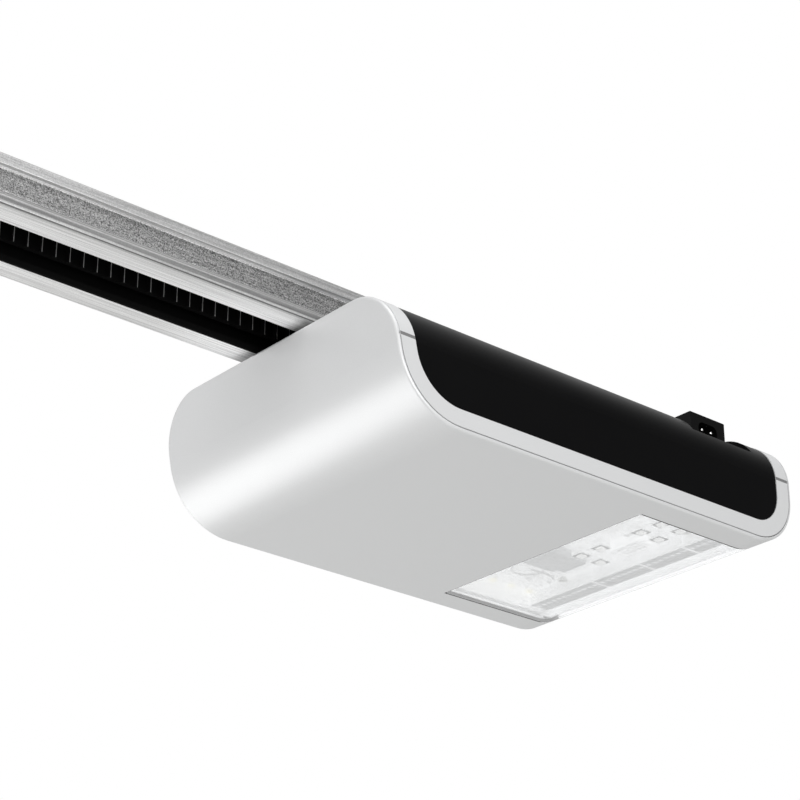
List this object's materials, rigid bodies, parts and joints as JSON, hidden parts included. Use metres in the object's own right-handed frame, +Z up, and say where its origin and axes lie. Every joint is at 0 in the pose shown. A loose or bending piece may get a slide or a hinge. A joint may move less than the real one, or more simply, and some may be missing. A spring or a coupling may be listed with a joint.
{
  "type": "garage door opener",
  "caption": "Ceiling-mounted garage door opener: rounded drive head, C-rail with toothed belt, sliding trolley with quick release and a hinged door arm.",
  "frame": {"origin": "centre of the four hanger holes, on the top face of the head's chassis plate", "axes": "+X along the rail from the door to the rear of the head, +Y to the head's left looking along +X, +Z up"},
  "size_m": [2.9916, 0.225, 0.5968],
  "materials": {
    "housing_black": "fine satin moulding",
    "cover_silver": "light silver-grey satin moulding",
    "frosted_lens": "frosted, translucent",
    "screw_steel": "zinc plated",
    "plate_steel": "zinc coated sheet",
    "rail_steel": "zinc coated roll-formed sheet with a fine grain",
    "belt_rubber": "matte black",
    "machined_steel": "turned",
    "pulley_plastic": "glass-filled",
    "cast_alloy": "as cast",
    "bearing_steel": "ground",
    "wheel_bronze": "cut",
    "motor_steel": "plated",
    "lamination_steel": "varnished stack",
    "dark_plastic": "matte",
    "winding": "varnished winding under tape",
    "board": "white solder mask",
    "standoff_plastic": "moulded",
    "switch_grey": "matte",
    "terminal_grey": "matte",
    "display_glass": "dark face",
    "shield_steel": "tinned can",
    "led_yellow": "phosphor",
    "button_white": "matte",
    "trolley_plastic": "glass-filled",
    "shoe_plastic": "low-friction, waxy",
    "clamp_plastic": "matte",
    "lever_red": "red, easy to see",
    "spring_steel": "drawn wire"
  },
  "bodies": {
    "opener": {"upper_housing": "housing_black", "lower_cover": "cover_silver", "cover_screws": "screw_steel", "chassis_plate": "plate_steel", "rail_clamps": "cast_alloy", "clamp_screws": "screw_steel", "rail": "rail_steel", "belt": "belt_rubber", "idler_axle": "machined_steel", "tension_yoke": "plate_steel", "tension_screw": "screw_steel", "tension_nut": "screw_steel", "tension_spring": "spring_steel", "rail_head_plate": "plate_steel", "rail_bolts": "screw_steel", "lintel_bolt": "screw_steel", "rail_hanger": "plate_steel", "end_stops": "dark_plastic", "gear_case": "cast_alloy", "gear_lid": "cast_alloy", "gear_screws": "screw_steel", "shaft_bearings": "bearing_steel", "motor_can": "motor_steel", "motor_end_cap": "dark_plastic", "transformer": "winding", "transformer_mount": "screw_steel", "control_board": "board", "board_standoffs": "standoff_plastic", "switch_bases": "switch_grey", "terminal_strip": "terminal_grey", "display_module": "display_glass", "radio_module": "shield_steel", "courtesy_leds": "led_yellow", "mains_inlet": "housing_black", "inlet_pins": "bearing_steel"},
    "output": {"output_shaft": "machined_steel", "worm_wheel": "wheel_bronze", "drive_pulley": "pulley_plastic"},
    "rotor": {"worm_shaft": "machined_steel", "motor_armature": "lamination_steel", "encoder_disc": "dark_plastic"},
    "idler": {"idler_pulley": "pulley_plastic"},
    "lens": {"light_lens": "frosted_lens"},
    "lintel": {"lintel_bracket": "plate_steel"},
    "trolley": {"trolley_body": "trolley_plastic", "slider_shoes": "shoe_plastic", "belt_clamp": "clamp_plastic", "trolley_pins": "machined_steel"},
    "latch": {"latch_pin": "machined_steel"},
    "lever": {"release_lever": "lever_red"},
    "arm": {"door_arm": "plate_steel", "bracket_pin": "machined_steel"},
    "door_foot": {"door_bracket": "plate_steel"},
    "key_1": {"button_1": "button_white"},
    "key_2": {"button_2": "button_white"},
    "key_3": {"button_3": "button_white"},
    "key_4": {"button_4": "button_white"},
    "key_5": {"button_5": "button_white"},
    "key_6": {"button_6": "button_white"},
    "key_7": {"button_7": "button_white"}
  },
  "joints": [
    {"name": "trolley_slide", "type": "slide", "parent": "opener", "child": "trolley", "axis": [1, 0, 0], "range_m": [0, 2.286]},
    {"name": "output_spin", "type": "hinge", "parent": "opener", "child": "output", "pos_m": [-0.055, 0, 0], "axis": [0, 0, 1], "continuous": true},
    {"name": "idler_spin", "type": "hinge", "parent": "opener", "child": "idler", "pos_m": [-2.66485, 0, 0.019], "axis": [0, 0, 1], "continuous": true},
    {"name": "motor_spin", "type": "hinge", "parent": "opener", "child": "rotor", "pos_m": [-0.055, 0.038, -0.032], "axis": [1, 0, 0], "continuous": true},
    {"name": "lens_hinge", "type": "hinge", "parent": "opener", "child": "lens", "pos_m": [0.0522, 0, -0.08175], "axis": [0, 1, 0], "range_deg": [0, 95]},
    {"name": "lintel_tilt", "type": "hinge", "parent": "opener", "child": "lintel", "pos_m": [-2.78885, 0, 0.019], "axis": [0, 1, 0], "range_deg": [-30, 30]},
    {"name": "lever_hinge", "type": "hinge", "parent": "trolley", "child": "lever", "pos_m": [-2.52875, 0, -0.014], "axis": [0, 1, 0], "range_deg": [0, 16], "stiffness_Nm_per_rad": 1.2, "springref_deg": -8.59},
    {"name": "latch_slide", "type": "slide", "parent": "trolley", "child": "latch", "axis": [0, 0, -1], "range_m": [0, 0.0066]},
    {"name": "arm_swing", "type": "hinge", "parent": "trolley", "child": "arm", "pos_m": [-2.56975, 0, -0.04], "axis": [0, 1, 0], "range_deg": [-20, 80]},
    {"name": "foot_swing", "type": "hinge", "parent": "arm", "child": "door_foot", "pos_m": [-2.56975, 0, -0.46], "axis": [0, 1, 0], "range_deg": [-80, 80]},
    {"name": "key_1_press", "type": "slide", "parent": "opener", "child": "key_1", "axis": [0, 0, 1], "range_m": [0, 0.0006], "stiffness_N_per_m": 2500, "springref_m": -0.0002},
    {"name": "key_2_press", "type": "slide", "parent": "opener", "child": "key_2", "axis": [0, 0, 1], "range_m": [0, 0.0006], "stiffness_N_per_m": 2500, "springref_m": -0.0002},
    {"name": "key_3_press", "type": "slide", "parent": "opener", "child": "key_3", "axis": [0, 0, 1], "range_m": [0, 0.0006], "stiffness_N_per_m": 2500, "springref_m": -0.0002},
    {"name": "key_4_press", "type": "slide", "parent": "opener", "child": "key_4", "axis": [0, 0, 1], "range_m": [0, 0.0006], "stiffness_N_per_m": 2500, "springref_m": -0.0002},
    {"name": "key_5_press", "type": "slide", "parent": "opener", "child": "key_5", "axis": [0, 0, 1], "range_m": [0, 0.0006], "stiffness_N_per_m": 2500, "springref_m": -0.0002},
    {"name": "key_6_press", "type": "slide", "parent": "opener", "child": "key_6", "axis": [0, 0, 1], "range_m": [0, 0.0006], "stiffness_N_per_m": 2500, "springref_m": -0.0002},
    {"name": "key_7_press", "type": "slide", "parent": "opener", "child": "key_7", "axis": [0, 0, 1], "range_m": [0, 0.0006], "stiffness_N_per_m": 2500, "springref_m": -0.0002}
  ],
  "couplings": [
    {"joint": "output_spin", "follows": "trolley_slide", "rad_per_m": -54.971},
    {"joint": "idler_spin", "follows": "trolley_slide", "rad_per_m": -54.971},
    {"joint": "motor_spin", "follows": "trolley_slide", "rad_per_m": -1649.1},
    {"joint": "latch_slide", "follows": "lever_hinge", "m_per_rad": 0.0232}
  ]
}
